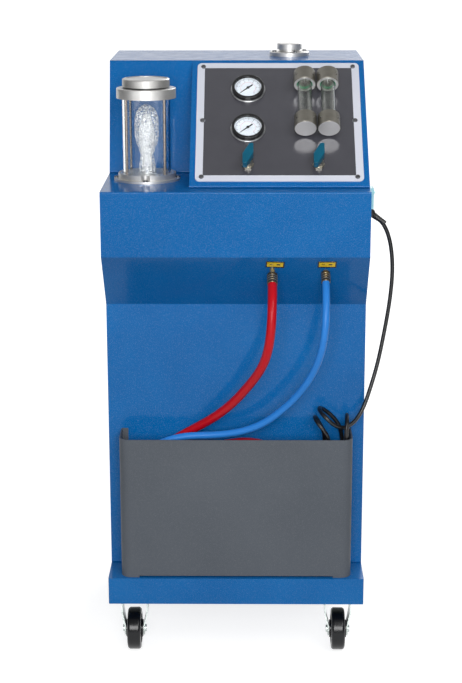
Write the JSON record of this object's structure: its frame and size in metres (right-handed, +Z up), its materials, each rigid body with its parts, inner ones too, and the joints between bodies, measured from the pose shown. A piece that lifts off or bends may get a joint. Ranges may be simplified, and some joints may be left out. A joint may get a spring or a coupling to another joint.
{
  "type": "coolant flush machine",
  "caption": "Upright blue cabinet on swivel casters with a sloping instrument panel, glass reservoir, hose basket and service hoses.",
  "frame": {"origin": "on the floor below the middle of the cabinet", "axes": "+Z up, +X to the right seen from the front, -Y towards the person who uses it"},
  "size_m": [0.4979, 0.5286, 1.0513],
  "materials": {
    "blue_paint": "gloss, fine sparkle",
    "grey_paint": "satin",
    "pale_plate": "satin",
    "dark_film": "fine grain",
    "steel": "satin",
    "chrome": "polished",
    "brass": "machined",
    "aluminium": "machined",
    "black_plastic": "fine grain",
    "gloss_black": "gloss",
    "teal_plastic": "satin",
    "cyan_plastic": "gloss",
    "white_plastic": "satin",
    "tank_plastic": "translucent white",
    "yellow_label": "satin",
    "clear_glass": "polished",
    "green_rubber": "satin",
    "red_rubber": "satin",
    "blue_rubber": "satin",
    "black_rubber": "satin",
    "mesh": "speckled knit",
    "caster_rubber": "satin"
  },
  "bodies": {
    "cabinet": {"cabinet_shell": "blue_paint", "head_shell": "blue_paint", "base_tray": "blue_paint", "hose_basket": "grey_paint", "rear_panel": "blue_paint", "instrument_plate": "pale_plate", "panel_film": "dark_film", "gauge_cases": "gloss_black", "gauge_bezels": "gloss_black", "gauge_dials": "white_plastic", "gauge_lenses": "clear_glass", "sight_tube_caps": "aluminium", "sight_tube_glasses": "clear_glass", "valve_bodies": "brass", "reservoir_base": "aluminium", "reservoir_top_ring": "aluminium", "reservoir_glass": "clear_glass", "glass_seals": "green_rubber", "tie_rods": "steel", "filter_sock": "mesh", "filter_standpipe": "steel", "filler_flange": "aluminium", "pan_screws": "steel", "hose_fittings": "chrome", "label_plates": "yellow_label", "red_hose": "red_rubber", "red_hose_coil": "red_rubber", "red_hose_end": "chrome", "blue_hose": "blue_rubber", "blue_hose_coil": "blue_rubber", "blue_hose_end": "chrome", "power_cord": "black_rubber", "power_cord_hank": "black_rubber", "power_plug": "black_plastic", "cable_gland": "black_plastic", "switch_frame": "cyan_plastic", "caster_plates": "steel", "caster_bolts": "steel", "new_fluid_tank": "tank_plastic", "old_fluid_tank": "tank_plastic", "equipment_shelf": "grey_paint", "pump": "aluminium", "power_box": "grey_paint", "internal_hoses": "black_rubber"},
    "left_valve_handle": {"left_valve_handle": "teal_plastic"},
    "right_valve_handle": {"right_valve_handle": "teal_plastic"},
    "new_gauge_needle": {"new_gauge_needle": "gloss_black"},
    "old_gauge_needle": {"old_gauge_needle": "gloss_black"},
    "reservoir_cap": {"reservoir_cap": "aluminium"},
    "filler_cap": {"filler_cap": "aluminium"},
    "switch_rocker": {"switch_rocker": "cyan_plastic"},
    "front_left_fork": {"front_left_fork": "steel"},
    "front_left_wheel": {"front_left_wheel": "caster_rubber"},
    "front_right_fork": {"front_right_fork": "steel"},
    "front_right_wheel": {"front_right_wheel": "caster_rubber"},
    "rear_left_fork": {"rear_left_fork": "steel"},
    "rear_left_wheel": {"rear_left_wheel": "caster_rubber"},
    "rear_right_fork": {"rear_right_fork": "steel"},
    "rear_right_wheel": {"rear_right_wheel": "caster_rubber"}
  },
  "joints": [
    {"name": "front_left_swivel", "type": "hinge", "parent": "cabinet", "child": "front_left_fork", "pos_m": [-0.182, -0.1695, 0.0912], "axis": [0, 0, 1], "continuous": true},
    {"name": "front_left_roll", "type": "hinge", "parent": "front_left_fork", "child": "front_left_wheel", "pos_m": [-0.182, -0.1955, 0.0375], "axis": [1, 0, 0], "continuous": true},
    {"name": "front_right_swivel", "type": "hinge", "parent": "cabinet", "child": "front_right_fork", "pos_m": [0.182, -0.1695, 0.0912], "axis": [0, 0, 1], "continuous": true},
    {"name": "front_right_roll", "type": "hinge", "parent": "front_right_fork", "child": "front_right_wheel", "pos_m": [0.182, -0.1955, 0.0375], "axis": [1, 0, 0], "continuous": true},
    {"name": "rear_left_swivel", "type": "hinge", "parent": "cabinet", "child": "rear_left_fork", "pos_m": [-0.182, 0.1735, 0.0912], "axis": [0, 0, 1], "continuous": true},
    {"name": "rear_left_roll", "type": "hinge", "parent": "rear_left_fork", "child": "rear_left_wheel", "pos_m": [-0.182, 0.1475, 0.0375], "axis": [1, 0, 0], "continuous": true},
    {"name": "rear_right_swivel", "type": "hinge", "parent": "cabinet", "child": "rear_right_fork", "pos_m": [0.182, 0.1735, 0.0912], "axis": [0, 0, 1], "continuous": true},
    {"name": "rear_right_roll", "type": "hinge", "parent": "rear_right_fork", "child": "rear_right_wheel", "pos_m": [0.182, 0.1475, 0.0375], "axis": [1, 0, 0], "continuous": true},
    {"name": "left_valve_handle_turn", "type": "hinge", "parent": "cabinet", "child": "left_valve_handle", "pos_m": [0.0205, -0.16545, 0.86993], "axis": [0, -0.6578, 0.7532], "range_deg": [0, 90]},
    {"name": "right_valve_handle_turn", "type": "hinge", "parent": "cabinet", "child": "right_valve_handle", "pos_m": [0.14001, -0.16545, 0.86993], "axis": [0, -0.6578, 0.7532], "range_deg": [0, 90]},
    {"name": "new_gauge_needle_swing", "type": "hinge", "parent": "cabinet", "child": "new_gauge_needle", "pos_m": [0.0205, -0.0384, 0.98593], "axis": [0, -0.6578, 0.7532], "range_deg": [-270, 0], "stiffness_Nm_per_rad": 0.0005},
    {"name": "old_gauge_needle_swing", "type": "hinge", "parent": "cabinet", "child": "old_gauge_needle", "pos_m": [0.0205, -0.10695, 0.92606], "axis": [0, -0.6578, 0.7532], "range_deg": [-270, 0], "stiffness_Nm_per_rad": 0.0005},
    {"name": "reservoir_cap_lift", "type": "slide", "parent": "cabinet", "child": "reservoir_cap", "axis": [0, 0, 1], "range_m": [0, 0.04]},
    {"name": "filler_cap_lift", "type": "slide", "parent": "cabinet", "child": "filler_cap", "axis": [0, 0, 1], "range_m": [0, 0.04]},
    {"name": "switch_rock", "type": "hinge", "parent": "cabinet", "child": "switch_rocker", "pos_m": [0.2279, -0.1515, 0.8125], "axis": [0, 1, 0], "range_deg": [-12, 0]}
  ]
}
